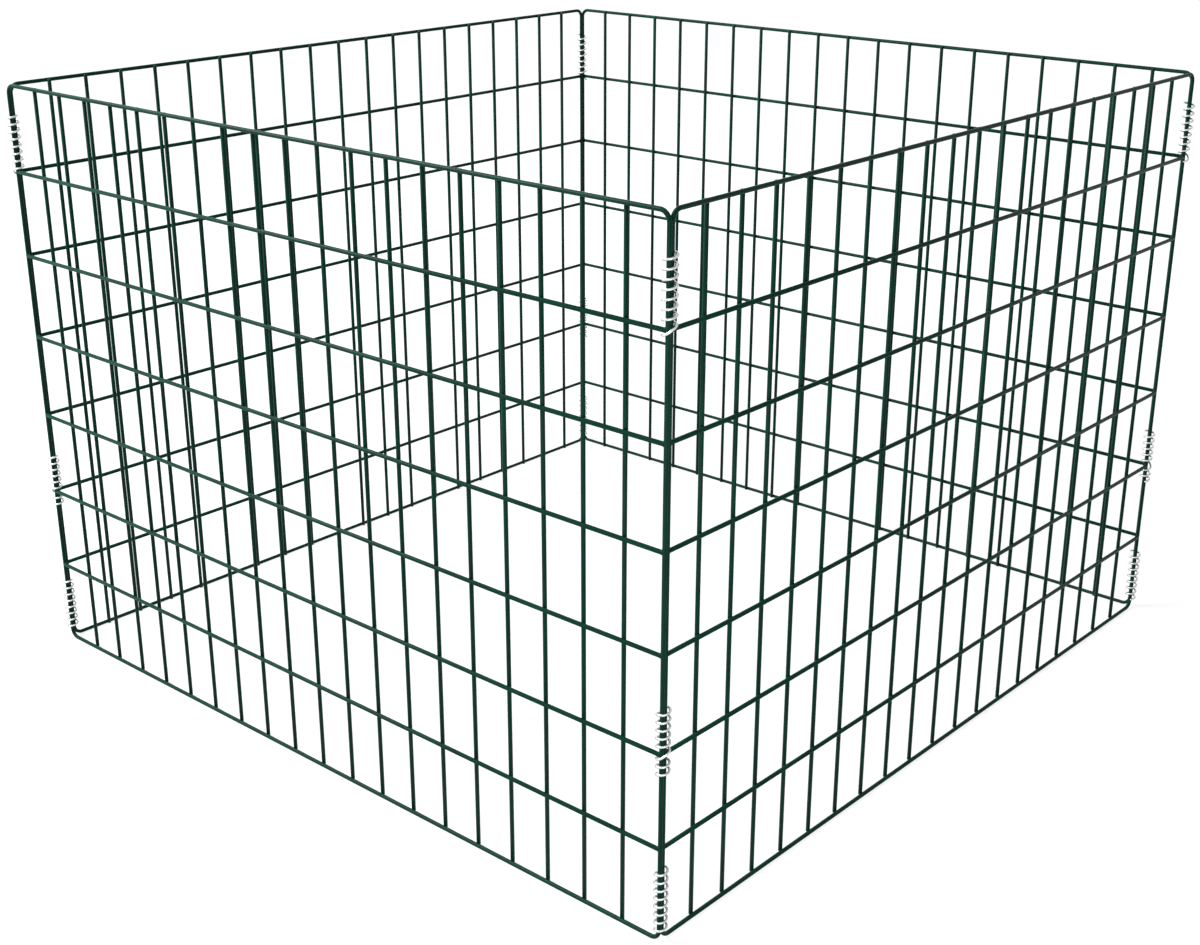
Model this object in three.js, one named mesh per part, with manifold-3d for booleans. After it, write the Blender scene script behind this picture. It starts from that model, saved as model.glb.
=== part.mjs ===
// Square wire compost bin: four flat panels of welded coated wire, open at the top and
// the bottom, laced together at the corners by twelve wound wire spirals.
// Millimetres, +Z up. The origin is on the ground, at the middle of the plan.
// The front panel faces -Y and the right panel faces +X.
import * as THREE from "three";
import { mergeVertices } from "three/addons/utils/BufferGeometryUtils.js";
import Module from "manifold-3d";

const wasm = await Module();
wasm.setup();

// Panel wire
const wireDiameter = 4.5;
const uprightPitch = 49;
const uprightSpaces = 20;
const rowPitch = 100;
const rowSpaces = 7;
const bendRadius = 10;
const weldBite = 0.5;
const uprightSetBack = 1;

// Clearance between pieces that touch on the real bin
const seatGap = 0.3;

// Corner spirals. A spiral crosses the outside of its corner once a turn. Between its first
// and last crossing it reaches over a share of a row, and each cut tail is a share of a turn.
const spiralWireDiameter = 2.4;
const spiralPitch = 8.8;
const liftAboveBend = 2.6;
const spiralReachShare = 0.62;
const tailShare = 0.375;

// The share of a turn, each way from the outside of a corner, that no cross wire reaches
// at any fold of the bin
const freeSideShare = 0.17;

// How the two edge wires of a corner lie beside each other, from the front and back planes
const frontRightLean = THREE.MathUtils.degToRad(100);
const backRightLean = THREE.MathUtils.degToRad(60);

// Facets
const wireSides = 8;
const bendSteps = 2;
const spiralSides = 5;
const spiralSteps = 8;
const roundingSlack = 1e-6;

// Worked out from the sizes above
const wireRadius = wireDiameter / 2;
const facet = Math.PI / wireSides;
const flatReach = wireRadius * Math.cos(facet);
const flatHalf = wireRadius * Math.sin(facet);
const halfWidth = (uprightPitch * uprightSpaces) / 2;
const height = rowPitch * rowSpaces;
const uprightInset = 2 * flatReach - weldBite;
const crossOutset = seatGap + weldBite;
const edgeSpacing = wireDiameter + seatGap;
const spiralWireRadius = spiralWireDiameter / 2;
const spiralRadius = edgeSpacing / 2 + wireRadius + seatGap + spiralWireRadius;
const fullTurns = Math.round((spiralReachShare * rowPitch) / spiralPitch);

// Places of the panel planes: their distance from the middle and each panel's slide along
// its plane, so that the edge wires of every corner lie one edgeSpacing apart
const frontRightLink = new THREE.Vector2(
  Math.cos(frontRightLean),
  Math.sin(frontRightLean),
).multiplyScalar(edgeSpacing);
const backRightLink = new THREE.Vector2(
  -Math.cos(backRightLean),
  Math.sin(backRightLean),
).multiplyScalar(edgeSpacing);
const frontPlane = halfWidth + (frontRightLink.y + backRightLink.y) / 2;
const frontSlide = -(frontRightLink.x + backRightLink.x) / 2;
const sidePlane = halfWidth + (frontRightLink.x - backRightLink.x) / 2;
const sideSlide = (frontRightLink.y - backRightLink.y) / 2;

const coatedWire = { color: 0x1f4638, roughness: 0.45, metalness: 0 };
const springWire = { color: 0xd4d6d6, roughness: 0.3, metalness: 0.9 };

function closedMesh(name, geometry, finish) {
  const mesh = new THREE.Mesh(geometry, new THREE.MeshStandardMaterial(finish));
  mesh.name = name;
  return mesh;
}

function toSolid(geometry) {
  const plain = geometry.clone();
  plain.deleteAttribute("normal");
  plain.deleteAttribute("uv");
  const merged = mergeVertices(plain);
  return new wasm.Manifold(
    new wasm.Mesh({
      numProp: 3,
      vertProperties: new Float32Array(merged.attributes.position.array),
      triVerts: new Uint32Array(merged.index.array),
    }),
  );
}

function fromSolid(solid) {
  const { vertProperties, triVerts } = solid.getMesh();
  const geometry = new THREE.BufferGeometry();
  geometry.setAttribute("position", new THREE.BufferAttribute(vertProperties, 3));
  geometry.setIndex(new THREE.BufferAttribute(triVerts, 1));
  geometry.computeVertexNormals();
  return geometry;
}

// A rectangle with round corners, drawn about its middle
function roundedOutline(path, halfX, halfY, radius) {
  const x = halfX - radius;
  const y = halfY - radius;
  const quarter = Math.PI / 2;
  path.moveTo(x, -halfY);
  path.absarc(x, -y, radius, -quarter, 0);
  path.absarc(x, y, radius, 0, quarter);
  path.absarc(-x, y, radius, quarter, 2 * quarter);
  path.absarc(-x, -y, radius, 2 * quarter, 3 * quarter);
  return path;
}

// One wire bent into the panel's outer loop. Bevels give it its eight flats.
function edgeLoop() {
  const outline = roundedOutline(
    new THREE.Shape(),
    halfWidth + flatHalf,
    height / 2 + flatHalf,
    bendRadius + flatHalf,
  );
  outline.holes.push(
    roundedOutline(
      new THREE.Path(),
      halfWidth - flatHalf,
      height / 2 - flatHalf,
      bendRadius - flatHalf,
    ),
  );
  const loop = new THREE.ExtrudeGeometry(outline, {
    depth: 2 * flatHalf,
    bevelThickness: flatReach - flatHalf,
    bevelSize: flatReach - flatHalf,
    bevelSegments: 1,
    curveSegments: bendSteps,
  });
  return loop.translate(0, 0, -flatHalf).rotateX(Math.PI / 2).translate(0, 0, height / 2);
}

function straightWire(length) {
  return new THREE.CylinderGeometry(
    wireRadius, wireRadius, length, wireSides, 1, false, facet,
  );
}

// The loop with the uprights welded to its inner side, standing on the bottom rail's flat
function panelGrid() {
  const length = height + 2 * (flatReach - uprightSetBack);
  let grid = toSolid(edgeLoop());
  for (let space = 1; space < uprightSpaces; space += 1) {
    const upright = straightWire(length)
      .rotateX(Math.PI / 2)
      .translate(space * uprightPitch - halfWidth, uprightInset, height / 2);
    grid = grid.add(toSolid(upright));
  }
  return fromSolid(grid);
}

// A cross wire lies on the outer side of the uprights and ends at the edge wires
function crossWire() {
  const length = 2 * (halfWidth - flatReach - seatGap);
  return straightWire(length).rotateZ(Math.PI / 2);
}

const gridGeometry = panelGrid();
const crossGeometry = crossWire();

function panel(side, plane, slide, turn) {
  const group = new THREE.Group();
  const body = new THREE.Group();
  body.position.set(slide, -plane, flatReach);
  body.add(closedMesh(`${side}_panel`, gridGeometry, coatedWire));
  for (let row = 1; row < rowSpaces; row += 1) {
    const wire = closedMesh(`${side}_cross_wire_${row}`, crossGeometry, coatedWire);
    wire.position.set(0, -crossOutset, row * rowPitch);
    body.add(wire);
  }
  group.add(body);
  group.rotation.z = turn;
  return group;
}

// The seats of a corner's spirals: the row that each is hooked to, and its whole turns below
// that row. The bottom one crosses no row and starts above the panels' bottom bends.
const seats = {
  bottom: { row: 0, turnsBelow: 0, crossesRow: false, lift: bendRadius + liftAboveBend },
  middle: { row: 2, turnsBelow: 2, crossesRow: true, lift: 0 },
  top: { row: rowSpaces - 1, turnsBelow: 0, crossesRow: true, lift: 0 },
};

// Where a spiral is hooked over a row it climbs by an extra rise above and below it, on the
// outside of the corner, so that the cross wires go between turns. Its other turns close up
// as much, so that every spiral keeps its length.
function spiralClimb(seat) {
  if (!seat.crossesRow) {
    return { pitch: spiralPitch, rise: 0 };
  }
  const passing = wireRadius + spiralWireRadius + seatGap;
  const risesInside = seat.turnsBelow > 0 ? 2 : 1;
  const closing = risesInside / fullTurns;
  const rise = (passing - freeSideShare * spiralPitch) / (1 - freeSideShare * closing);
  return { pitch: spiralPitch - closing * rise, rise };
}

// Height of a spiral's middle line at an angle from the corner's outward diagonal
function spiralHeight(angle, { pitch, rise }) {
  const turnsPast = angle / (2 * Math.PI);
  const across = THREE.MathUtils.clamp(turnsPast / freeSideShare, -1, 1);
  return pitch * turnsPast + rise * Math.sin((across * Math.PI) / 2);
}

// A right-handed spiral about Z, with a vertex of each turn beyond both edge wires
function spiral(seat, linkAngle, outwardAngle) {
  const climb = spiralClimb(seat);
  const step = (2 * Math.PI) / spiralSteps;
  const lowest = -(seat.turnsBelow + tailShare) * 2 * Math.PI;
  const offset = linkAngle - outwardAngle;
  const first = offset + Math.ceil((lowest - offset) / step - roundingSlack) * step;
  const count = Math.round((fullTurns + 2 * tailShare) * spiralSteps);
  const pointAt = (angle) =>
    new THREE.Vector3(
      spiralRadius * Math.cos(angle + outwardAngle),
      spiralRadius * Math.sin(angle + outwardAngle),
      spiralHeight(angle, climb),
    );
  const centres = [];
  const positions = [];
  for (let i = 0; i <= count; i += 1) {
    const angle = first + i * step;
    const centre = pointAt(angle);
    const along = pointAt(angle + step).sub(pointAt(angle - step)).normalize();
    const outward = new THREE.Vector3(centre.x, centre.y, 0).normalize();
    const upward = new THREE.Vector3().crossVectors(outward, along);
    for (let j = 0; j < spiralSides; j += 1) {
      const round = (j * 2 * Math.PI) / spiralSides;
      const corner = centre
        .clone()
        .addScaledVector(outward, spiralWireRadius * Math.cos(round))
        .addScaledVector(upward, spiralWireRadius * Math.sin(round));
      positions.push(corner.x, corner.y, corner.z);
    }
    centres.push(centre);
  }
  const faces = [];
  for (let i = 0; i < count; i += 1) {
    for (let j = 0; j < spiralSides; j += 1) {
      const next = (j + 1) % spiralSides;
      const a = i * spiralSides + j;
      const b = i * spiralSides + next;
      const c = a + spiralSides;
      const d = b + spiralSides;
      faces.push(a, c, b, b, c, d);
    }
  }
  for (let j = 1; j < spiralSides - 1; j += 1) {
    const end = count * spiralSides;
    faces.push(0, j, j + 1, end, end + j + 1, end + j);
  }
  const geometry = new THREE.BufferGeometry();
  geometry.setAttribute("position", new THREE.Float32BufferAttribute(positions, 3));
  geometry.setIndex(faces);
  geometry.computeVertexNormals();
  return { geometry, centres };
}

// The least distance between the surfaces of turns that pass each other
function leastSelfGap(centres) {
  let least = Infinity;
  for (let i = 0; i < centres.length; i += 1) {
    for (let j = i + spiralSteps / 2; j < centres.length; j += 1) {
      least = Math.min(least, centres[i].distanceTo(centres[j]) - spiralWireDiameter);
    }
  }
  return least;
}

let leastGap = Infinity;

// The three spirals of a corner, round both of its edge wires
function cornerSpirals(name, firstWire, link, outwardAngle, turn) {
  const group = new THREE.Group();
  const middle = firstWire.clone().addScaledVector(link, 0.5);
  for (const [place, seat] of Object.entries(seats)) {
    const { geometry, centres } = spiral(seat, link.angle(), outwardAngle);
    leastGap = Math.min(leastGap, leastSelfGap(centres));
    const mesh = closedMesh(`${name}_spiral_${place}`, geometry, springWire);
    mesh.position.set(middle.x, middle.y, flatReach + seat.row * rowPitch + seat.lift);
    group.add(mesh);
  }
  group.rotation.z = turn;
  return group;
}

const quarter = Math.PI / 2;
const frontRightWire = new THREE.Vector2(frontSlide + halfWidth, -frontPlane);
const backRightWire = new THREE.Vector2(sidePlane, sideSlide + halfWidth);
const bin = new THREE.Group();
bin.add(
  panel("front", frontPlane, frontSlide, 0),
  panel("right", sidePlane, sideSlide, quarter),
  panel("back", frontPlane, frontSlide, 2 * quarter),
  panel("left", sidePlane, sideSlide, 3 * quarter),
  cornerSpirals("front_right", frontRightWire, frontRightLink, -quarter / 2, 0),
  cornerSpirals("back_right", backRightWire, backRightLink, quarter / 2, 0),
  cornerSpirals("back_left", frontRightWire, frontRightLink, -quarter / 2, 2 * quarter),
  cornerSpirals("front_left", backRightWire, backRightLink, quarter / 2, 2 * quarter),
);
console.log(`least gap of a spiral to itself: ${leastGap.toFixed(2)} mm`);

export default bin;
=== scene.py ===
"""Looks of a square wire compost bin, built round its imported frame.

Four flat panels of welded wire with a green coat are laced at their corners by wound spirals
of galvanised spring wire. Every panel is drawn as it is when it faces -Y, and is then turned
to its own side of the bin. Metres, +Z up, the origin on the ground in the middle of the plan.
"""

import math

import bpy
from bpy.props import FloatProperty, FloatVectorProperty, IntProperty, PointerProperty
from bpy.types import Operator, Panel, PropertyGroup
from mathutils import Matrix, Vector


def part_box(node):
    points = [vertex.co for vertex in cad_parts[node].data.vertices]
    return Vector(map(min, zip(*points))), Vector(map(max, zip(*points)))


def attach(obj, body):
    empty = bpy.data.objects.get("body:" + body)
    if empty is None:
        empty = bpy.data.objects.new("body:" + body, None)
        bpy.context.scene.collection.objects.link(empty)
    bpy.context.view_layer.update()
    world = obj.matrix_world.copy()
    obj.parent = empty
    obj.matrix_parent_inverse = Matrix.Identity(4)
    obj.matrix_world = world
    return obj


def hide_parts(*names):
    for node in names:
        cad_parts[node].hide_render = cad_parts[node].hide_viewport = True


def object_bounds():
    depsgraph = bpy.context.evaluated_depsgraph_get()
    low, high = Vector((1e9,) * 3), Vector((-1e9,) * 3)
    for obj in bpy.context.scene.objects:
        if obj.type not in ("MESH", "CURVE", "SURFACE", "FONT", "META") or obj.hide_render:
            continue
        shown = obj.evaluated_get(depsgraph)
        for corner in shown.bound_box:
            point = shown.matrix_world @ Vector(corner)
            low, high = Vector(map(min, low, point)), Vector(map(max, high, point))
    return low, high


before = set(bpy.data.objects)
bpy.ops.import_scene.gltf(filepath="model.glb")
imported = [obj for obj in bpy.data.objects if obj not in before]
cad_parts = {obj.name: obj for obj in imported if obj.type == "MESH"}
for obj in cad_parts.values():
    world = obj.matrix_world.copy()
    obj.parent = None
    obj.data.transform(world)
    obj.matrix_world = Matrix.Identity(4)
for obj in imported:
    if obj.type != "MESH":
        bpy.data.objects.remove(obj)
cad_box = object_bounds()

bl_info = {
    "name": "Wire compost bin",
    "version": (1, 0, 0),
    "blender": (4, 5, 0),
    "location": "3D View > Sidebar > Compost Bin",
    "description": "Builds the wires, spirals and studio of a folding wire compost bin",
    "category": "Object",
}

MILLIMETRE = 0.001
FULL_TURN = 2 * math.pi
HALF_TURN = FULL_TURN / 2
QUARTER_TURN = FULL_TURN / 4

# The turn of each panel from facing -Y
TURNS = {"front": 0, "right": QUARTER_TURN, "back": HALF_TURN, "left": HALF_TURN + QUARTER_TURN}

# Each corner's two panels, the first of which carries its spirals, and which way the corner lies
# from the middle of the bin
CORNERS = {
    "front_right": {"panels": ("front", "right"), "outward": Vector((1, -1))},
    "back_right": {"panels": ("back", "right"), "outward": Vector((1, 1))},
    "back_left": {"panels": ("back", "left"), "outward": Vector((-1, 1))},
    "front_left": {"panels": ("front", "left"), "outward": Vector((-1, -1))},
}

# The row that each spiral is hooked over, counted up from the bottom rail, and its whole turns
# below that row. The bottom one is hooked over none and starts above the bottom bends.
SEATS = {
    "bottom": {"row": 0, "turns_below": 0},
    "middle": {"row": 2, "turns_below": 2},
    "top": {"row": 6, "turns_below": 0},
}

# The coat of a weld is shaped from an open ring of radius 1 that reaches this far up and down
RING_REACH = 0.5
RING_STEPS = 4
FILLET_SIDES = 12
COLLAR_SIDES = 16

# The far rim of a collar lies just inside the cross wire, so that it runs out into it. The near
# rim is drawn in sideways, so that it lies on the edge wire.
FAR_RIM_SHARE = 0.965
NEAR_RIM_SHARE = 0.85
NEAR_OUTSET_SHARE = 0.35

# The coat is satin on the wires, and a little smoother where it has run together
COAT_ROUGHNESS = 0.38
POOLED_ROUGHNESS = 0.32

# The colour sockets of a Mix node, whose names belong to other sockets too
MIX_A, MIX_B, MIX_RESULT = 6, 7, 2

# Soft lamps: degrees round the bin from -Y and above the floor, metres from its middle and
# across, and watts
LAMPS = {
    "key_lamp": {"azimuth": -44, "elevation": 38, "distance": 2.8, "size": 1.6, "power": 108},
    "fill_lamp": {"azimuth": 41, "elevation": 3, "distance": 1.35, "size": 0.5, "power": 3},
    "back_lamp": {"azimuth": -132, "elevation": 24, "distance": 3.0, "size": 1.6, "power": 16},
}


def millimetres(length):
    """A length in millimetres, as metres."""
    return length * MILLIMETRE


def per_metre(length):
    """A texture's scale, from the size of its pattern in millimetres."""
    return 1 / millimetres(length)


def linear(hex_colour):
    """An sRGB hex colour as linear red, green and blue, by the sRGB curve."""
    shares = [int(hex_colour[i : i + 2], 16) / 255 for i in (1, 3, 5)]
    return [s / 12.92 if s <= 0.04045 else ((s + 0.055) / 1.055) ** 2.4 for s in shares]


def length_property(name, description, default):
    """A property that holds a length, with its default in millimetres."""
    return FloatProperty(
        name=name,
        description=description,
        default=millimetres(default),
        min=0,
        subtype="DISTANCE",
        unit="LENGTH",
        precision=5,
    )


def share_property(name, description, default):
    """A property that holds a share of a whole."""
    return FloatProperty(
        name=name, description=description, default=default, min=0, max=1, subtype="FACTOR"
    )


def colour_property(name, description, default):
    """A property that holds a colour, with its default as an sRGB hex value."""
    return FloatVectorProperty(
        name=name,
        description=description,
        default=linear(default),
        min=0,
        max=1,
        subtype="COLOR",
    )


class PanelSettings(PropertyGroup):
    """Sizes and colours of the welded panels."""

    wire_diameter: length_property("Wire", "Diameter of the panel wire over its coat", 4.5)
    bend_radius: length_property("Bend", "Radius of the edge wire's middle line in a bend", 10)
    set_back: length_property("Set-back", "How far uprights end short of the rails' outer side", 1)
    end_rounding: length_property("End rounding", "How far the coat rounds a cut end", 0.5)
    weld_waist: length_property("Weld waist", "Radius of a weld's coat fillet at its waist", 1.6)
    weld_lip: length_property("Weld lip", "Radius of a weld's coat fillet where it meets a wire", 2)
    collar_reach: length_property("Collar", "How far a weld's collar runs along a cross wire", 2.2)
    uprights: IntProperty(name="Uprights", description="Uprights in a panel", default=19, min=1)
    wire_sides: IntProperty(name="Sides", description="Sides of a drawn wire", default=16, min=3)
    bend_steps: IntProperty(name="Steps", description="Steps in a drawn bend", default=10, min=1)
    coat: colour_property("Coat", "Green coat over the wire", "#0a3529")
    coat_thin: colour_property("Thin coat", "Coat where it is thin and paler", "#0e4033")
    coat_pooled: colour_property("Pooled coat", "Coat that has run into the welds", "#082b21")


class SpiralSettings(PropertyGroup):
    """Sizes and colours of the corner spirals."""

    wire_diameter: length_property("Wire", "Diameter of the spring wire", 2.4)
    pitch: length_property("Pitch", "Rise of a plain turn", 8.8)
    clearance: length_property("Clearance", "Room between a spiral and what it passes", 0.3)
    lift: length_property("Lift", "Height of the bottom spiral above the bends", 2.6)
    cut_bevel: length_property("Cut end", "Length of the bevel on a cut end", 0.4)
    full_turns: IntProperty(name="Turns", description="Turns between the end crossings", default=7)
    tail_share: share_property("Tail", "Share of a turn in a tail", 0.375)
    free_share: share_property(
        "Free side", "Share of a turn, each way from the outside, that no cross wire reaches", 0.17
    )
    wire_sides: IntProperty(name="Sides", description="Sides of a drawn wire", default=12, min=3)
    turn_steps: IntProperty(name="Steps", description="Steps in a drawn turn", default=36, min=8)
    zinc: colour_property("Zinc", "Bright galvanised wire", "#d0d4d4")
    zinc_dull: colour_property("Dull zinc", "Zinc that has begun to dull", "#b0b5b6")


class StageSettings(PropertyGroup):
    """The camera, the floor and the light."""

    camera_place: FloatVectorProperty(
        name="Camera",
        description="Where the camera stands",
        default=(1.3795, -1.5852, 1.0178),
        subtype="TRANSLATION",
        unit="LENGTH",
    )
    camera_aim: FloatVectorProperty(
        name="Aim",
        description="What the camera points at",
        default=(0, -0.0273, 0.2041),
        subtype="TRANSLATION",
        unit="LENGTH",
    )
    focal_length: FloatProperty(
        name="Focal length", description="Lens of the camera", default=53.13, unit="CAMERA"
    )
    film_width: FloatProperty(
        name="Film", description="Width of the camera's film", default=36, unit="CAMERA"
    )
    shift_across: FloatProperty(
        name="Shift", description="Shift of the lens to the right", default=0.0023
    )
    shift_up: FloatProperty(name="Rise", description="Shift of the lens upwards", default=0.0076)
    floor_reach: length_property("Floor", "Half the floor's width", 9000)
    shadow_reach: length_property("Shadow", "How far the bin's shadow shows in full", 900)
    glow_reach: length_property("Glow", "How far out the floor's glow hides every shadow", 2400)
    floor_grey: share_property("Floor grey", "Share of light that the floor gives back", 0.3)
    near_glow: share_property("Near glow", "Share of full white in the floor near the bin", 0.84)
    ambient: share_property("Ambient", "Share of full white in the light from all round", 0.18)


def add_node(tree, kind, inputs=None, **settings):
    """Adds a node, sets it up and fills its inputs, which are given by name, or by number where
    names repeat, with values or with links. A node stands for its first output."""
    node = tree.nodes.new(kind)
    node.location.x = len(tree.nodes) * node.width
    for name, value in settings.items():
        setattr(node, name, value)
    for key, value in (inputs or {}).items():
        source = value.outputs[0] if isinstance(value, bpy.types.Node) else value
        if isinstance(source, bpy.types.NodeSocket):
            tree.links.new(source, node.inputs[key])
        else:
            node.inputs[key].default_value = source
    return node


def new_shape_tree(name, inputs):
    """An empty tree of shape nodes, and the sockets that give these named inputs."""
    tree = bpy.data.node_groups.new(name, "GeometryNodeTree")
    for label, kind in inputs.items():
        tree.interface.new_socket(label, in_out="INPUT", socket_type=f"NodeSocket{kind}")
    tree.interface.new_socket("Geometry", in_out="OUTPUT", socket_type="NodeSocketGeometry")
    return tree, add_node(tree, "NodeGroupInput").outputs


def end_shape_tree(tree, geometry, material):
    """Ends a tree of shape nodes: real meshes, smooth, with their material."""
    real = add_node(tree, "GeometryNodeRealizeInstances", {"Geometry": geometry})
    smooth = add_node(tree, "GeometryNodeSetShadeSmooth", {"Geometry": real})
    finish = add_node(tree, "GeometryNodeSetMaterial", {"Geometry": smooth, "Material": material})
    add_node(tree, "NodeGroupOutput", {"Geometry": finish})
    return tree


def add_object(name, data):
    """A new object in the scene, with this data."""
    item = bpy.data.objects.new(name, data)
    bpy.context.scene.collection.objects.link(item)
    return item


def mesh_from(tree, values):
    """The plain mesh that a tree of shape nodes makes from these values."""
    maker = add_object("maker", bpy.data.meshes.new("maker"))
    modifier = maker.modifiers.new("Shape", "NODES")
    modifier.node_group = tree
    for socket in tree.interface.items_tree:
        if socket.in_out == "INPUT":
            modifier[socket.identifier] = values[socket.name]
    graph = bpy.context.evaluated_depsgraph_get()
    mesh = bpy.data.meshes.new_from_object(maker.evaluated_get(graph))
    bpy.data.objects.remove(maker)
    return mesh


def add_piece(name, mesh, place, body, nodes):
    """Adds a piece, with its place in its mesh, that stands for these nodes of the frame."""
    mesh.name = name
    mesh.transform(place)
    piece = add_object(name, mesh)
    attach(piece, body)
    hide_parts(*nodes)


def facing_box(node, side):
    """A node's lowest and highest corner, with its panel turned to face -Y."""
    turn = Matrix.Rotation(-TURNS[side], 3, "Z")
    corners = [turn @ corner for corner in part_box(node)]
    return Vector(map(min, *corners)), Vector(map(max, *corners))


class PanelPlaces:
    """Where the middle lines of a panel's wires are, read from the frame, facing -Y. Its reach
    is from a wire's middle line to its outer side."""

    def __init__(self, side):
        low, high = facing_box(f"{side}_panel", side)
        wires = sorted(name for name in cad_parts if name.startswith(f"{side}_cross_wire_"))
        rows = [facing_box(name, side) for name in wires]
        self.cross_nodes = wires
        self.reach = (rows[0][1].z - rows[0][0].z) / 2
        self.middle = (low.x + high.x) / 2
        self.half_width = (high.x - low.x) / 2 - self.reach
        self.left_end = self.middle - self.half_width
        self.right_end = self.middle + self.half_width
        self.bottom = low.z + self.reach
        self.top = high.z - self.reach
        self.height = self.top - self.bottom
        self.centre_height = (self.top + self.bottom) / 2
        self.rail = low.y + self.reach
        self.upright = high.y - self.reach
        self.cross = rows[0][0].y + self.reach
        self.cross_length = rows[0][1].x - rows[0][0].x
        self.rows = [(row_low.z + row_high.z) / 2 for row_low, row_high in rows]
        self.row_step = self.rows[1] - self.rows[0]

    def upright_row(self, count):
        """Where the first of this many uprights is along the panel, and the step to the next."""
        step = 2 * self.half_width / (count + 1)
        return self.left_end + step, step

    def edge_wire(self, side, outward):
        """The plan place of the edge wire at the end of this panel that is nearer the corner."""
        turn = Matrix.Rotation(TURNS[side], 2)
        ends = [turn @ Vector((end, self.rail)) for end in (self.left_end, self.right_end)]
        return max(ends, key=outward.dot)


def side_matrix(side):
    """The turn of a panel from facing -Y to its own side."""
    return Matrix.Rotation(TURNS[side], 4, "Z")


def body_of_panel(side):
    """The frame's body that carries a panel."""
    return f"{side}_side"


def edge_wire_tree():
    """A wire bent into a rectangle with round corners, in the XZ plane round the origin."""
    tree, given = new_shape_tree(
        "Bent edge wire",
        {
            "Width": "Float",
            "Height": "Float",
            "Bend Radius": "Float",
            "Bend Steps": "Int",
            "Wire Radius": "Float",
            "Wire Sides": "Int",
            "Material": "Material",
        },
    )
    outline = add_node(
        tree,
        "GeometryNodeCurvePrimitiveQuadrilateral",
        {"Width": given["Width"], "Height": given["Height"]},
    )
    bent = add_node(
        tree,
        "GeometryNodeFilletCurve",
        {"Curve": outline, "Count": given["Bend Steps"], "Radius": given["Bend Radius"]},
        mode="POLY",
    )
    upright = add_node(
        tree, "GeometryNodeTransform", {"Geometry": bent, "Rotation": (QUARTER_TURN, 0, 0)}
    )
    section = add_node(
        tree,
        "GeometryNodeCurvePrimitiveCircle",
        {"Resolution": given["Wire Sides"], "Radius": given["Wire Radius"]},
    )
    wire = add_node(tree, "GeometryNodeCurveToMesh", {"Curve": upright, "Profile Curve": section})
    return end_shape_tree(tree, wire, given["Material"])


def cut_ends_group():
    """Numbers the points of a cut wire: Along runs 0 to 1 inside the end points, and End is -1
    at the first point, 1 at the last and 0 between."""
    tree = bpy.data.node_groups.new("Cut ends", "GeometryNodeTree")
    tree.interface.new_socket("Points", in_out="INPUT", socket_type="NodeSocketInt")
    for label in ("Along", "End"):
        tree.interface.new_socket(label, in_out="OUTPUT", socket_type="NodeSocketFloat")
    points = add_node(tree, "NodeGroupInput").outputs["Points"]
    index = add_node(tree, "GeometryNodeInputIndex")
    last = add_node(tree, "ShaderNodeMath", {0: points, 1: 1}, operation="SUBTRACT")
    inner = add_node(tree, "ShaderNodeMath", {0: last, 1: 1}, operation="SUBTRACT")
    along = add_node(tree, "ShaderNodeMapRange", {"Value": index, "From Min": 1, "From Max": inner})
    first_end = add_node(tree, "ShaderNodeMapRange", {"Value": index, "To Min": -1, "To Max": 0})
    last_end = add_node(
        tree, "ShaderNodeMapRange", {"Value": index, "From Min": inner, "From Max": last}
    )
    end = add_node(tree, "ShaderNodeMath", {0: first_end, 1: last_end}, operation="ADD")
    add_node(tree, "NodeGroupOutput", {"Along": along, "End": end})
    return tree


def add_cut_wire(tree, given, points, path, end):
    """Adds the nodes that give a path of points its round wire, drawn in at the cut ends."""
    drawn_in = add_node(tree, "ShaderNodeMath", {0: end}, operation="ABSOLUTE")
    thickness = add_node(
        tree, "ShaderNodeMapRange", {"Value": drawn_in, "To Min": 1, "To Max": given["End Scale"]}
    )
    line = add_node(tree, "GeometryNodeCurvePrimitiveLine")
    stations = add_node(tree, "GeometryNodeResampleCurve", {"Curve": line, "Count": points})
    placed = add_node(tree, "GeometryNodeSetPosition", {"Geometry": stations, "Position": path})
    section = add_node(
        tree,
        "GeometryNodeCurvePrimitiveCircle",
        {"Resolution": given["Wire Sides"], "Radius": given["Wire Radius"]},
    )
    return add_node(
        tree,
        "GeometryNodeCurveToMesh",
        {"Curve": placed, "Profile Curve": section, "Scale": thickness, "Fill Caps": True},
    )


def wire_row_tree(cut_ends):
    """A row of straight wires with rounded ends, the first at the origin, each along X or Z."""
    tree, given = new_shape_tree(
        "Row of straight wires",
        {
            "Length": "Float",
            "End Rounding": "Float",
            "End Scale": "Float",
            "Wire Radius": "Float",
            "Wire Sides": "Int",
            "Lay": "Rotation",
            "Count": "Int",
            "Step": "Vector",
            "Material": "Material",
        },
    )
    # One ring at each tip, and one where its rounding begins
    rings = 4
    ends = add_node(tree, "GeometryNodeGroup", {"Points": rings}, node_tree=cut_ends)
    half = add_node(tree, "ShaderNodeMath", {0: given["Length"], 1: 0.5}, operation="MULTIPLY")
    inner = add_node(
        tree, "ShaderNodeMath", {0: half, 1: given["End Rounding"]}, operation="SUBTRACT"
    )
    lowest = add_node(tree, "ShaderNodeMath", {0: inner, 1: -1}, operation="MULTIPLY")
    plain = add_node(
        tree,
        "ShaderNodeMapRange",
        {"Value": ends.outputs["Along"], "To Min": lowest, "To Max": inner},
    )
    height = add_node(
        tree,
        "ShaderNodeMath",
        {0: ends.outputs["End"], 1: given["End Rounding"], 2: plain},
        operation="MULTIPLY_ADD",
    )
    path = add_node(tree, "ShaderNodeCombineXYZ", {"Z": height})
    wire = add_cut_wire(tree, given, rings, path, ends.outputs["End"])
    row = add_node(tree, "GeometryNodeMeshLine", {"Count": given["Count"], "Offset": given["Step"]})
    wires = add_node(
        tree,
        "GeometryNodeInstanceOnPoints",
        {"Points": row, "Instance": wire, "Rotation": given["Lay"]},
    )
    return end_shape_tree(tree, wires, given["Material"])


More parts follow.
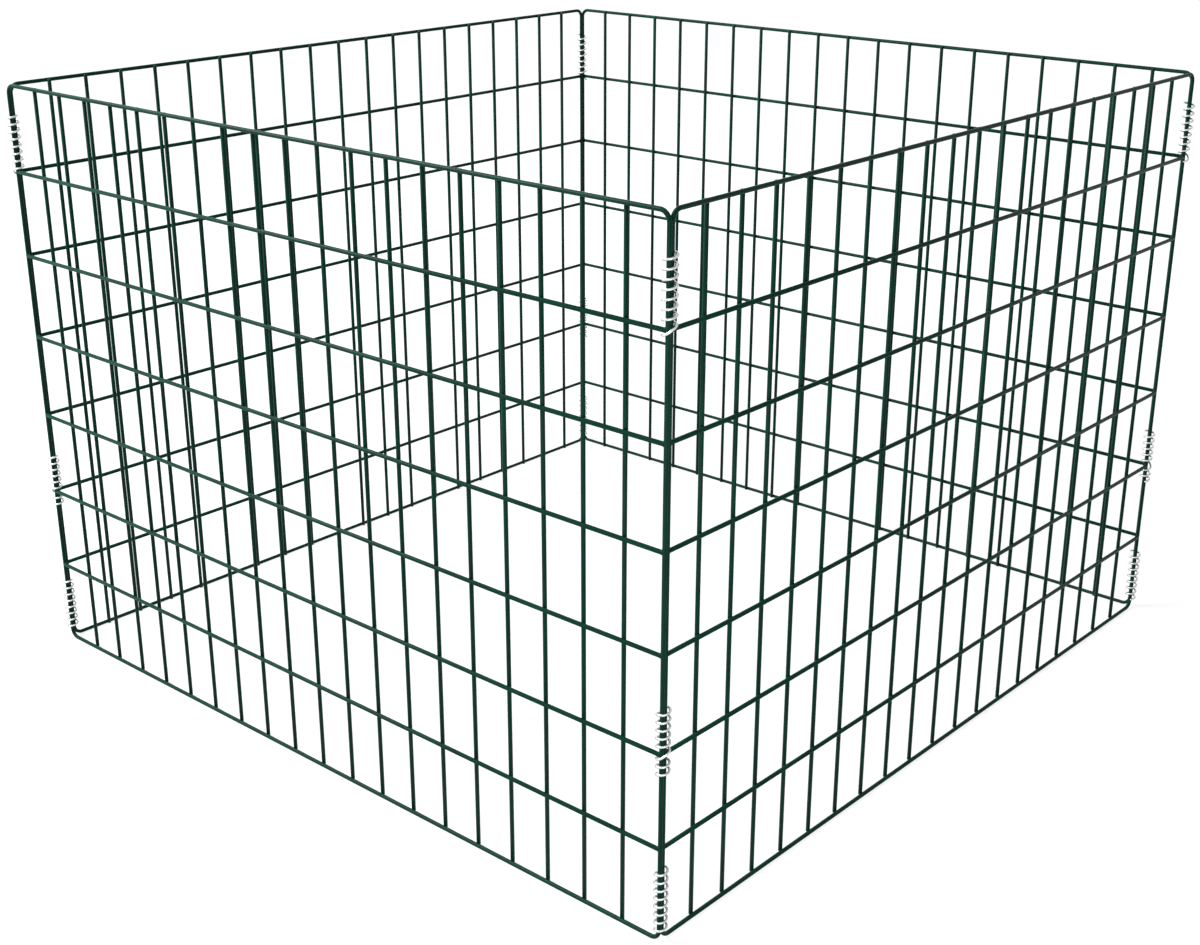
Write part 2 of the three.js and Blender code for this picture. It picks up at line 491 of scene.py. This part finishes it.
def add_grid_points(tree, given):
    """Adds the nodes that place points in columns along X and rows along Z."""
    column = add_node(tree, "ShaderNodeCombineXYZ", {"X": given["Column Step"]})
    row = add_node(tree, "ShaderNodeCombineXYZ", {"Z": given["Row Step"]})
    columns = add_node(tree, "GeometryNodeMeshLine", {"Count": given["Columns"], "Offset": column})
    rows = add_node(tree, "GeometryNodeMeshLine", {"Count": given["Rows"], "Offset": row})
    grid = add_node(tree, "GeometryNodeInstanceOnPoints", {"Points": rows, "Instance": columns})
    return add_node(tree, "GeometryNodeRealizeInstances", {"Geometry": grid})


def add_surface_height(tree, radius, across):
    """Adds the nodes for the height of a round wire's surface at a distance across its middle."""
    square = add_node(tree, "ShaderNodeMath", {0: radius, 1: radius}, operation="MULTIPLY")
    away = add_node(tree, "ShaderNodeMath", {0: across, 1: across}, operation="MULTIPLY")
    left = add_node(tree, "ShaderNodeMath", {0: square, 1: away}, operation="SUBTRACT")
    above = add_node(tree, "ShaderNodeMath", {0: left, 1: 0}, operation="MAXIMUM")
    return add_node(tree, "ShaderNodeMath", {0: above}, operation="SQRT")


def add_ring(tree, sides):
    """Adds an open ring about Z, for the coat of a weld, and the parts of its points' places."""
    ring = add_node(
        tree,
        "GeometryNodeMeshCylinder",
        {"Vertices": sides, "Side Segments": RING_STEPS, "Radius": 1, "Depth": 2 * RING_REACH},
        fill_type="NONE",
    )
    place = add_node(tree, "GeometryNodeInputPosition")
    return ring, add_node(tree, "ShaderNodeSeparateXYZ", {"Vector": place}).outputs


def crossing_weld_tree():
    """Fillets of coat round the welds of uprights that lie across rails or cross wires: each is
    a waisted ring that follows the horizontal wire on one side and the upright on the other."""
    tree, given = new_shape_tree(
        "Welds of crossing wires",
        {
            "Wire Radius": "Float",
            "Wire Spacing": "Float",
            "Waist": "Float",
            "Lip": "Float",
            "Columns": "Int",
            "Column Step": "Float",
            "Rows": "Int",
            "Row Step": "Float",
            "Material": "Material",
        },
    )
    ring, unit = add_ring(tree, FILLET_SIDES)
    flare = add_node(tree, "ShaderNodeMath", {0: unit["Z"], 1: unit["Z"]}, operation="MULTIPLY")
    full_flare = RING_REACH**2
    spread = add_node(
        tree,
        "ShaderNodeMapRange",
        {"Value": flare, "From Max": full_flare, "To Min": given["Waist"], "To Max": given["Lip"]},
    )
    across = add_node(tree, "ShaderNodeMath", {0: unit["X"], 1: spread}, operation="MULTIPLY")
    up = add_node(tree, "ShaderNodeMath", {0: unit["Y"], 1: spread}, operation="MULTIPLY")
    outer = add_surface_height(tree, given["Wire Radius"], up)
    inner_height = add_surface_height(tree, given["Wire Radius"], across)
    inner = add_node(
        tree, "ShaderNodeMath", {0: given["Wire Spacing"], 1: inner_height}, operation="SUBTRACT"
    )
    depth = add_node(
        tree,
        "ShaderNodeMapRange",
        {
            "Value": unit["Z"],
            "From Min": -RING_REACH,
            "From Max": RING_REACH,
            "To Min": outer,
            "To Max": inner,
        },
    )
    point = add_node(tree, "ShaderNodeCombineXYZ", {"X": across, "Y": depth, "Z": up})
    fillet = add_node(tree, "GeometryNodeSetPosition", {"Geometry": ring, "Position": point})
    outward = add_node(tree, "GeometryNodeFlipFaces", {"Mesh": fillet})
    welds = add_node(
        tree,
        "GeometryNodeInstanceOnPoints",
        {"Points": add_grid_points(tree, given), "Instance": outward},
    )
    return end_shape_tree(tree, welds, given["Material"])


def end_weld_tree():
    """Collars of coat round the welds of the cross wires' ends to an edge wire, one above the
    other from the origin. Each runs from the edge wire's surface out along the cross wire."""
    tree, given = new_shape_tree(
        "Welds of cross wire ends",
        {
            "Wire Radius": "Float",
            "Lip": "Float",
            "Reach": "Float",
            "Cross Outset": "Float",
            "Rows": "Int",
            "Row Step": "Float",
            "Material": "Material",
        },
    )
    tube, unit = add_ring(tree, COLLAR_SIDES)
    away = add_node(
        tree,
        "ShaderNodeMapRange",
        {"Value": unit["Z"], "From Min": -RING_REACH, "From Max": RING_REACH},
    )
    near = add_node(tree, "ShaderNodeMath", {0: 1, 1: away}, operation="SUBTRACT")
    flare = add_node(tree, "ShaderNodeMath", {0: near, 1: 2}, operation="POWER")
    sunk = add_node(
        tree, "ShaderNodeMath", {0: given["Wire Radius"], 1: FAR_RIM_SHARE}, operation="MULTIPLY"
    )
    spread = add_node(
        tree, "ShaderNodeMapRange", {"Value": flare, "To Min": sunk, "To Max": given["Lip"]}
    )
    rim_depth = add_node(
        tree, "ShaderNodeMath", {0: given["Wire Radius"], 1: NEAR_RIM_SHARE}, operation="MULTIPLY"
    )
    rim_outset = add_node(
        tree,
        "ShaderNodeMath",
        {0: given["Cross Outset"], 1: NEAR_OUTSET_SHARE},
        operation="MULTIPLY",
    )
    thickness = add_node(
        tree, "ShaderNodeMapRange", {"Value": flare, "To Min": sunk, "To Max": rim_depth}
    )
    outset = add_node(
        tree,
        "ShaderNodeMapRange",
        {"Value": flare, "To Min": given["Cross Outset"], "To Max": rim_outset},
    )
    up = add_node(tree, "ShaderNodeMath", {0: unit["X"], 1: spread}, operation="MULTIPLY")
    depth = add_node(
        tree, "ShaderNodeMath", {0: unit["Y"], 1: thickness, 2: outset}, operation="MULTIPLY_ADD"
    )
    surface = add_surface_height(tree, given["Wire Radius"], depth)
    far = add_node(
        tree, "ShaderNodeMath", {0: given["Wire Radius"], 1: given["Reach"]}, operation="ADD"
    )
    across = add_node(tree, "ShaderNodeMapRange", {"Value": away, "To Min": surface, "To Max": far})
    point = add_node(tree, "ShaderNodeCombineXYZ", {"X": across, "Y": depth, "Z": up})
    collar = add_node(tree, "GeometryNodeSetPosition", {"Geometry": tube, "Position": point})
    outward = add_node(tree, "GeometryNodeFlipFaces", {"Mesh": collar})
    step = add_node(tree, "ShaderNodeCombineXYZ", {"Z": given["Row Step"]})
    rows = add_node(tree, "GeometryNodeMeshLine", {"Count": given["Rows"], "Offset": step})
    welds = add_node(tree, "GeometryNodeInstanceOnPoints", {"Points": rows, "Instance": outward})
    return end_shape_tree(tree, welds, given["Material"])


def spiral_tree(cut_ends):
    """A right-handed spiral about Z that may climb faster on its outer side, which is at +X,
    so that a cross wire goes between its turns. The origin is where it crosses that side."""
    tree, given = new_shape_tree(
        "Wound spiral",
        {
            "Radius": "Float",
            "Pitch": "Float",
            "Rise": "Float",
            "Free Share": "Float",
            "First Turn": "Float",
            "Last Turn": "Float",
            "End Turn": "Float",
            "End Scale": "Float",
            "Points": "Int",
            "Wire Radius": "Float",
            "Wire Sides": "Int",
            "Material": "Material",
        },
    )
    ends = add_node(tree, "GeometryNodeGroup", {"Points": given["Points"]}, node_tree=cut_ends)
    first = add_node(
        tree, "ShaderNodeMath", {0: given["First Turn"], 1: given["End Turn"]}, operation="ADD"
    )
    last = add_node(
        tree, "ShaderNodeMath", {0: given["Last Turn"], 1: given["End Turn"]}, operation="SUBTRACT"
    )
    inside = add_node(
        tree,
        "ShaderNodeMapRange",
        {"Value": ends.outputs["Along"], "To Min": first, "To Max": last},
    )
    turn = add_node(
        tree,
        "ShaderNodeMath",
        {0: ends.outputs["End"], 1: given["End Turn"], 2: inside},
        operation="MULTIPLY_ADD",
    )
    before = add_node(tree, "ShaderNodeMath", {0: given["Free Share"], 1: -1}, operation="MULTIPLY")
    crossing = add_node(
        tree,
        "ShaderNodeMapRange",
        {
            "Value": turn,
            "From Min": before,
            "From Max": given["Free Share"],
            "To Min": -QUARTER_TURN,
            "To Max": QUARTER_TURN,
        },
    )
    lean = add_node(tree, "ShaderNodeMath", {0: crossing}, operation="SINE")
    extra = add_node(tree, "ShaderNodeMath", {0: lean, 1: given["Rise"]}, operation="MULTIPLY")
    height = add_node(
        tree, "ShaderNodeMath", {0: turn, 1: given["Pitch"], 2: extra}, operation="MULTIPLY_ADD"
    )
    angle = add_node(tree, "ShaderNodeMath", {0: turn, 1: FULL_TURN}, operation="MULTIPLY")
    spoke = add_node(tree, "ShaderNodeCombineXYZ", {"X": given["Radius"], "Z": height})
    path = add_node(
        tree, "ShaderNodeVectorRotate", {"Vector": spoke, "Angle": angle}, rotation_type="Z_AXIS"
    )
    wire = add_cut_wire(tree, given, given["Points"], path, ends.outputs["End"])
    return end_shape_tree(tree, wire, given["Material"])


def new_material(name):
    """A material that has no nodes yet, and its tree."""
    material = bpy.data.materials.new(name)
    material.use_nodes = True
    material.node_tree.nodes.clear()
    return material, material.node_tree


def coat_material(name, thick, thin, roughness):
    """Polyester powder coat, baked on over galvanised wire: a satin dark green that is a touch
    paler where it is thin, with the faint orange peel of a sprayed and melted powder."""
    # Lengths in millimetres: the thickness of the coat drifts along a wire over some
    # centimetres, and the waves of orange peel are 1 to 2 mm long
    drift_length, peel_length, peel_height = 45, 1.8, 0.05
    pale_from, pale_to = 0.35, 0.7
    peel_low, peel_high = 0.3, 0.7
    gloss_swing = 0.05
    material, tree = new_material(name)
    place = add_node(tree, "ShaderNodeTexCoord").outputs["Object"]
    drift = add_node(
        tree, "ShaderNodeTexNoise", {"Vector": place, "Scale": per_metre(drift_length), "Detail": 3}
    )
    peel = add_node(
        tree, "ShaderNodeTexNoise", {"Vector": place, "Scale": per_metre(peel_length), "Detail": 2}
    )
    tone = add_node(
        tree, "ShaderNodeMapRange", {"Value": drift, "From Min": pale_from, "From Max": pale_to}
    )
    colour = add_node(
        tree,
        "ShaderNodeMix",
        {"Factor": tone, MIX_A: (*thick, 1), MIX_B: (*thin, 1)},
        data_type="RGBA",
    )
    gloss = add_node(
        tree,
        "ShaderNodeMapRange",
        {
            "Value": peel,
            "From Min": peel_low,
            "From Max": peel_high,
            "To Min": roughness - gloss_swing,
            "To Max": roughness + gloss_swing,
        },
    )
    bump = add_node(
        tree,
        "ShaderNodeBump",
        {"Strength": 0.6, "Distance": millimetres(peel_height), "Height": peel},
    )
    surface = add_node(
        tree,
        "ShaderNodeBsdfPrincipled",
        {
            "Base Color": colour.outputs[MIX_RESULT],
            "Roughness": gloss,
            "Normal": bump,
            "IOR": 1.5,
            "Specular IOR Level": 0.06,
        },
    )
    add_node(tree, "ShaderNodeOutputMaterial", {"Surface": surface})
    return material


def spring_material(settings):
    """Hard-drawn spring wire, galvanised bright: silver with a soft sheen, a fine grain and the
    first dull clouds of the zinc."""
    # Lengths in millimetres: the dull clouds are a few millimetres across, and the grain of the
    # zinc is drawn as coarse as it needs to show
    cloud_size, grain_size, grain_height = 3.5, 0.35, 0.02
    dull_from, dull_to = 0.4, 0.65
    cloud_low, cloud_high = 0.35, 0.7
    bright_roughness, dull_roughness = 0.3, 0.46
    material, tree = new_material("Galvanised spring wire")
    place = add_node(tree, "ShaderNodeTexCoord").outputs["Object"]
    cloud = add_node(
        tree, "ShaderNodeTexNoise", {"Vector": place, "Scale": per_metre(cloud_size), "Detail": 4}
    )
    grain = add_node(
        tree, "ShaderNodeTexNoise", {"Vector": place, "Scale": per_metre(grain_size), "Detail": 3}
    )
    tone = add_node(
        tree, "ShaderNodeMapRange", {"Value": cloud, "From Min": dull_from, "From Max": dull_to}
    )
    colour = add_node(
        tree,
        "ShaderNodeMix",
        {"Factor": tone, MIX_A: (*settings.zinc, 1), MIX_B: (*settings.zinc_dull, 1)},
        data_type="RGBA",
    )
    gloss = add_node(
        tree,
        "ShaderNodeMapRange",
        {
            "Value": cloud,
            "From Min": cloud_low,
            "From Max": cloud_high,
            "To Min": bright_roughness,
            "To Max": dull_roughness,
        },
    )
    bump = add_node(
        tree,
        "ShaderNodeBump",
        {"Strength": 0.4, "Distance": millimetres(grain_height), "Height": grain},
    )
    surface = add_node(
        tree,
        "ShaderNodeBsdfPrincipled",
        {
            "Base Color": colour.outputs[MIX_RESULT],
            "Metallic": 1,
            "Roughness": gloss,
            "Normal": bump,
        },
    )
    add_node(tree, "ShaderNodeOutputMaterial", {"Surface": surface})
    return material


def kept_coat(name, *finish):
    """The coat of this name, made the first time that it is asked for."""
    return bpy.data.materials.get(name) or coat_material(name, *finish)


def wire_coat(settings):
    """The coat of the panel wires."""
    return kept_coat("Green powder coat", settings.coat, settings.coat_thin, COAT_ROUGHNESS)


def weld_coat(settings):
    """The coat that has run into the welds, a little darker and smoother."""
    return kept_coat("Pooled powder coat", settings.coat_pooled, settings.coat, POOLED_ROUGHNESS)


class BIN_OT_edge_wires(Operator):
    """Makes each panel's outer wire, bent into a loop with four small round corners."""

    bl_idname = "compost_bin.edge_wires"
    bl_label = "Edge Wires"

    def execute(self, context):
        settings = context.scene.compost_bin_panels
        tree = edge_wire_tree()
        for side in TURNS:
            places = PanelPlaces(side)
            mesh = mesh_from(
                tree,
                {
                    "Width": 2 * places.half_width,
                    "Height": places.height,
                    "Bend Radius": settings.bend_radius,
                    "Bend Steps": settings.bend_steps,
                    "Wire Radius": settings.wire_diameter / 2,
                    "Wire Sides": settings.wire_sides,
                    "Material": wire_coat(settings),
                },
            )
            middle = (places.middle, places.rail, places.centre_height)
            place = side_matrix(side) @ Matrix.Translation(middle)
            nodes = [f"{side}_panel"]
            add_piece(f"{side}_edge_wire", mesh, place, body_of_panel(side), nodes)
        return {"FINISHED"}


class BIN_OT_straight_wires(Operator):
    """Makes each panel's uprights, on its inner side, and its cross wires, on its outer side."""

    bl_idname = "compost_bin.straight_wires"
    bl_label = "Uprights and Cross Wires"

    def execute(self, context):
        settings = context.scene.compost_bin_panels
        radius = settings.wire_diameter / 2
        tree = wire_row_tree(cut_ends_group())
        for side in TURNS:
            places = PanelPlaces(side)
            first, pitch = places.upright_row(settings.uprights)
            shared = {
                "End Rounding": settings.end_rounding,
                "End Scale": 1 - settings.end_rounding / radius,
                "Wire Radius": radius,
                "Wire Sides": settings.wire_sides,
                "Material": wire_coat(settings),
            }
            uprights = mesh_from(
                tree,
                {
                    "Length": places.height + 2 * (places.reach - settings.set_back),
                    "Lay": (0, 0, 0),
                    "Count": settings.uprights,
                    "Step": (pitch, 0, 0),
                    **shared,
                },
            )
            middle = (first, places.upright, places.centre_height)
            place = side_matrix(side) @ Matrix.Translation(middle)
            body = body_of_panel(side)
            add_piece(f"{side}_uprights", uprights, place, body, [f"{side}_panel"])
            cross_wires = mesh_from(
                tree,
                {
                    "Length": places.cross_length,
                    "Lay": (0, QUARTER_TURN, 0),
                    "Count": len(places.rows),
                    "Step": (0, 0, places.row_step),
                    **shared,
                },
            )
            lowest = (places.middle, places.cross, places.rows[0])
            place = side_matrix(side) @ Matrix.Translation(lowest)
            nodes = places.cross_nodes
            add_piece(f"{side}_cross_wires", cross_wires, place, body, nodes)
        return {"FINISHED"}


class BIN_OT_welds(Operator):
    """Makes the fillets of coat where a panel's wires are welded to each other."""

    bl_idname = "compost_bin.welds"
    bl_label = "Welds"

    def execute(self, context):
        settings = context.scene.compost_bin_panels
        crossing_tree = crossing_weld_tree()
        end_tree = end_weld_tree()
        radius = settings.wire_diameter / 2
        for side in TURNS:
            places = PanelPlaces(side)
            first, pitch = places.upright_row(settings.uprights)
            rails = (places.bottom, places.top)
            shared = {"Wire Radius": radius, "Material": weld_coat(settings)}
            crossing = {
                "Waist": settings.weld_waist,
                "Lip": settings.weld_lip,
                "Columns": settings.uprights,
                "Column Step": pitch,
                **shared,
            }
            ends = {
                "Lip": radius + settings.weld_lip / 2,
                "Reach": settings.collar_reach,
                "Rows": len(places.rows),
                "Row Step": places.row_step,
                "Cross Outset": places.cross - places.rail,
                **shared,
            }
            groups = {
                "rail_welds": (
                    crossing_tree,
                    {
                        "Wire Spacing": places.upright - places.rail,
                        "Rows": len(rails),
                        "Row Step": places.height,
                        **crossing,
                    },
                    Matrix.Translation((first, places.rail, rails[0])),
                    [f"{side}_panel"],
                ),
                "cross_welds": (
                    crossing_tree,
                    {
                        "Wire Spacing": places.upright - places.cross,
                        "Rows": len(places.rows),
                        "Row Step": places.row_step,
                        **crossing,
                    },
                    Matrix.Translation((first, places.cross, places.rows[0])),
                    places.cross_nodes,
                ),
                "left_end_welds": (
                    end_tree,
                    ends,
                    Matrix.Translation((places.left_end, places.rail, places.rows[0])),
                    places.cross_nodes,
                ),
                "right_end_welds": (
                    end_tree,
                    ends,
                    Matrix.Translation((places.right_end, places.rail, places.rows[-1]))
                    @ Matrix.Rotation(HALF_TURN, 4, "Y"),
                    places.cross_nodes,
                ),
            }
            for label, (tree, values, place, nodes) in groups.items():
                add_piece(
                    f"{side}_{label}",
                    mesh_from(tree, values),
                    side_matrix(side) @ place,
                    body_of_panel(side),
                    nodes,
                )
        return {"FINISHED"}


class BIN_OT_spirals(Operator):
    """Winds the three spirals of each corner round its two edge wires."""

    bl_idname = "compost_bin.spirals"
    bl_label = "Corner Spirals"

    # The frame's spirals have their cut ends on eighths of a turn from the line of edge wires
    end_steps = 8

    # A spiral has one point more than steps, and one more for the bevel of each cut end
    extra_points = 3

    def first_turn(self, seat, link_turn, tail_share):
        """Where a spiral starts, in turns from where it crosses its corner's outer side."""
        lowest = -(seat["turns_below"] + tail_share)
        slack = 1e-6
        steps = math.ceil((lowest - link_turn) * self.end_steps - slack)
        return link_turn + steps / self.end_steps

    def climb(self, seat, settings, panel_wire):
        """A spiral's pitch, and its extra rise above and below the row that it is hooked over."""
        if seat["row"] == 0:
            return settings.pitch, 0
        passing = panel_wire / 2 + settings.wire_diameter / 2 + settings.clearance
        rises_inside = 2 if seat["turns_below"] else 1
        closing = rises_inside / settings.full_turns
        free = settings.free_share
        rise = (passing - free * settings.pitch) / (1 - free * closing)
        return settings.pitch - closing * rise, rise

    def execute(self, context):
        settings = context.scene.compost_bin_spirals
        panels = context.scene.compost_bin_panels
        tree = spiral_tree(cut_ends_group())
        material = spring_material(settings)
        wire_radius = settings.wire_diameter / 2
        for corner, facts in CORNERS.items():
            outward = facts["outward"]
            carrier = facts["panels"][0]
            first_wire, second_wire = (
                PanelPlaces(side).edge_wire(side, outward) for side in facts["panels"]
            )
            link = second_wire - first_wire
            outward_angle = math.atan2(outward.y, outward.x)
            link_turn = (math.atan2(link.y, link.x) - outward_angle) / FULL_TURN
            radius = link.length / 2 + panels.wire_diameter / 2 + settings.clearance + wire_radius
            middle = (first_wire + second_wire) / 2
            places = PanelPlaces(carrier)
            heights = [places.bottom, *places.rows]
            for label, seat in SEATS.items():
                pitch, rise = self.climb(seat, settings, panels.wire_diameter)
                turns = settings.full_turns + 2 * settings.tail_share
                first = self.first_turn(seat, link_turn, settings.tail_share)
                last = first + round(turns * self.end_steps) / self.end_steps
                lift = 0 if seat["row"] else panels.bend_radius + settings.lift
                mesh = mesh_from(
                    tree,
                    {
                        "Radius": radius,
                        "Pitch": pitch,
                        "Rise": rise,
                        "Free Share": settings.free_share,
                        "First Turn": first,
                        "Last Turn": last,
                        "End Turn": settings.cut_bevel / (FULL_TURN * radius),
                        "End Scale": 1 - settings.cut_bevel / wire_radius,
                        "Points": round((last - first) * settings.turn_steps) + self.extra_points,
                        "Wire Radius": wire_radius,
                        "Wire Sides": settings.wire_sides,
                        "Material": material,
                    },
                )
                place = Matrix.Translation((*middle, heights[seat["row"]] + lift))
                turned = place @ Matrix.Rotation(outward_angle, 4, "Z")
                node = f"{corner}_spiral_{label}"
                body = body_of_panel(carrier)
                add_piece(f"{corner}_{label}_spiral", mesh, turned, body, [node])
        return {"FINISHED"}


def add_seen(tree):
    """Adds the nodes that give 1 where the eye sees a surface, straight, reflected or through
    something clear, and 0 where the surface only lights another."""
    path = add_node(tree, "ShaderNodeLightPath").outputs
    seen = path["Is Camera Ray"]
    for kind in ("Is Glossy Ray", "Is Transmission Ray"):
        seen = add_node(tree, "ShaderNodeMath", {0: seen, 1: path[kind]}, operation="MAXIMUM")
    return seen


class BIN_OT_stage(Operator):
    """Makes the camera, the pale floor, the white surround and the soft lamps."""

    bl_idname = "compost_bin.stage"
    bl_label = "Stage"

    def make_camera(self, context, settings):
        """Puts the camera where the photo was taken from."""
        camera = add_object("camera", bpy.data.cameras.new("camera"))
        place, aim = Vector(settings.camera_place), Vector(settings.camera_aim)
        camera.location = place
        camera.rotation_euler = (aim - place).to_track_quat("-Z", "Y").to_euler()
        camera.data.sensor_width = settings.film_width
        camera.data.lens = settings.focal_length
        camera.data.shift_x = settings.shift_across
        camera.data.shift_y = settings.shift_up
        context.scene.camera = camera

    def make_lamps(self):
        """Hangs the lamps round the bin, each turned to its middle."""
        low, high = cad_box
        middle = (low + high) / 2
        for name, facts in LAMPS.items():
            around, above = math.radians(facts["azimuth"]), math.radians(facts["elevation"])
            level = math.cos(above)
            outward = Vector((math.sin(around) * level, -math.cos(around) * level, math.sin(above)))
            lamp = add_object(name, bpy.data.lights.new(name, "AREA"))
            lamp.data.shape = "DISK"
            lamp.data.size = facts["size"]
            lamp.data.energy = facts["power"]
            lamp.location = middle + outward * facts["distance"]
            lamp.rotation_euler = (-outward).to_track_quat("-Z", "Y").to_euler()

    def make_surround(self, context, settings):
        """Makes the world, which is white to the eye and gives a low light from all round."""
        world = bpy.data.worlds.new("White studio")
        world.use_nodes = True
        tree = world.node_tree
        tree.nodes.clear()
        seen = add_seen(tree)
        strength = add_node(tree, "ShaderNodeMapRange", {"Value": seen, "To Min": settings.ambient})
        white = add_node(
            tree, "ShaderNodeBackground", {"Color": (1, 1, 1, 1), "Strength": strength}
        )
        add_node(tree, "ShaderNodeOutputWorld", {"Surface": white})
        context.scene.world = world

    def make_floor(self, settings, height):
        """Lays the floor, which is white but for the bin's shadow."""
        reach = settings.floor_reach
        corners = [(-reach, -reach), (reach, -reach), (reach, reach), (-reach, reach)]
        mesh = bpy.data.meshes.new("floor")
        mesh.from_pydata([(x, y, height) for x, y in corners], [], [(0, 1, 2, 3)])
        material, tree = new_material("White studio floor")
        grey = settings.floor_grey
        paint = add_node(tree, "ShaderNodeBsdfDiffuse", {"Color": (grey, grey, grey, 1)})
        place = add_node(tree, "ShaderNodeTexCoord").outputs["Object"]
        away = add_node(tree, "ShaderNodeVectorMath", {"Vector": place}, operation="LENGTH")
        # The glow leaves room for the bin's shadow near it, and none further out
        glow = add_node(
            tree,
            "ShaderNodeMapRange",
            {
                "Value": away.outputs["Value"],
                "From Min": settings.shadow_reach,
                "From Max": settings.glow_reach,
                "To Min": settings.near_glow,
            },
            interpolation_type="SMOOTHSTEP",
        )
        strength = add_node(
            tree, "ShaderNodeMath", {0: glow, 1: add_seen(tree)}, operation="MULTIPLY"
        )
        white = add_node(tree, "ShaderNodeEmission", {"Color": (1, 1, 1, 1), "Strength": strength})
        both = add_node(tree, "ShaderNodeAddShader", {0: paint, 1: white})
        add_node(tree, "ShaderNodeOutputMaterial", {"Surface": both})
        mesh.materials.append(material)
        floor = add_object("floor", mesh)

    def execute(self, context):
        settings = context.scene.compost_bin_stage
        panels = context.scene.compost_bin_panels
        places = PanelPlaces("front")
        self.make_camera(context, settings)
        self.make_lamps()
        self.make_surround(context, settings)
        self.make_floor(settings, places.bottom - panels.wire_diameter / 2)
        context.scene.view_settings.view_transform = "Standard"
        return {"FINISHED"}


class BIN_PT_build(Panel):
    """Lists the steps that build the bin, with their sizes and colours."""

    bl_idname = "BIN_PT_build"
    bl_label = "Compost Bin"
    bl_space_type = "VIEW_3D"
    bl_region_type = "UI"
    bl_category = "Compost Bin"

    def draw(self, context):
        for operator in OPERATORS:
            self.layout.operator(operator.bl_idname)
        for name in SETTINGS:
            box = self.layout.box()
            settings = getattr(context.scene, name)
            for label in settings.__annotations__:
                box.prop(settings, label)


SETTINGS = {
    "compost_bin_panels": PanelSettings,
    "compost_bin_spirals": SpiralSettings,
    "compost_bin_stage": StageSettings,
}
OPERATORS = (
    BIN_OT_edge_wires,
    BIN_OT_straight_wires,
    BIN_OT_welds,
    BIN_OT_spirals,
    BIN_OT_stage,
)
CLASSES = (*SETTINGS.values(), *OPERATORS, BIN_PT_build)


def register():
    """Adds the classes to Blender, and their settings to the scene."""
    for item in CLASSES:
        bpy.utils.register_class(item)
    for name, group in SETTINGS.items():
        setattr(bpy.types.Scene, name, PointerProperty(type=group))


def unregister():
    """Takes the settings and the classes out again."""
    for name in SETTINGS:
        delattr(bpy.types.Scene, name)
    for item in reversed(CLASSES):
        bpy.utils.unregister_class(item)


def main():
    """Builds the bin and its stage."""
    register()
    bpy.ops.compost_bin.edge_wires()
    bpy.ops.compost_bin.straight_wires()
    bpy.ops.compost_bin.welds()
    bpy.ops.compost_bin.spirals()
    bpy.ops.compost_bin.stage()


if __name__ == "__main__":
    main()
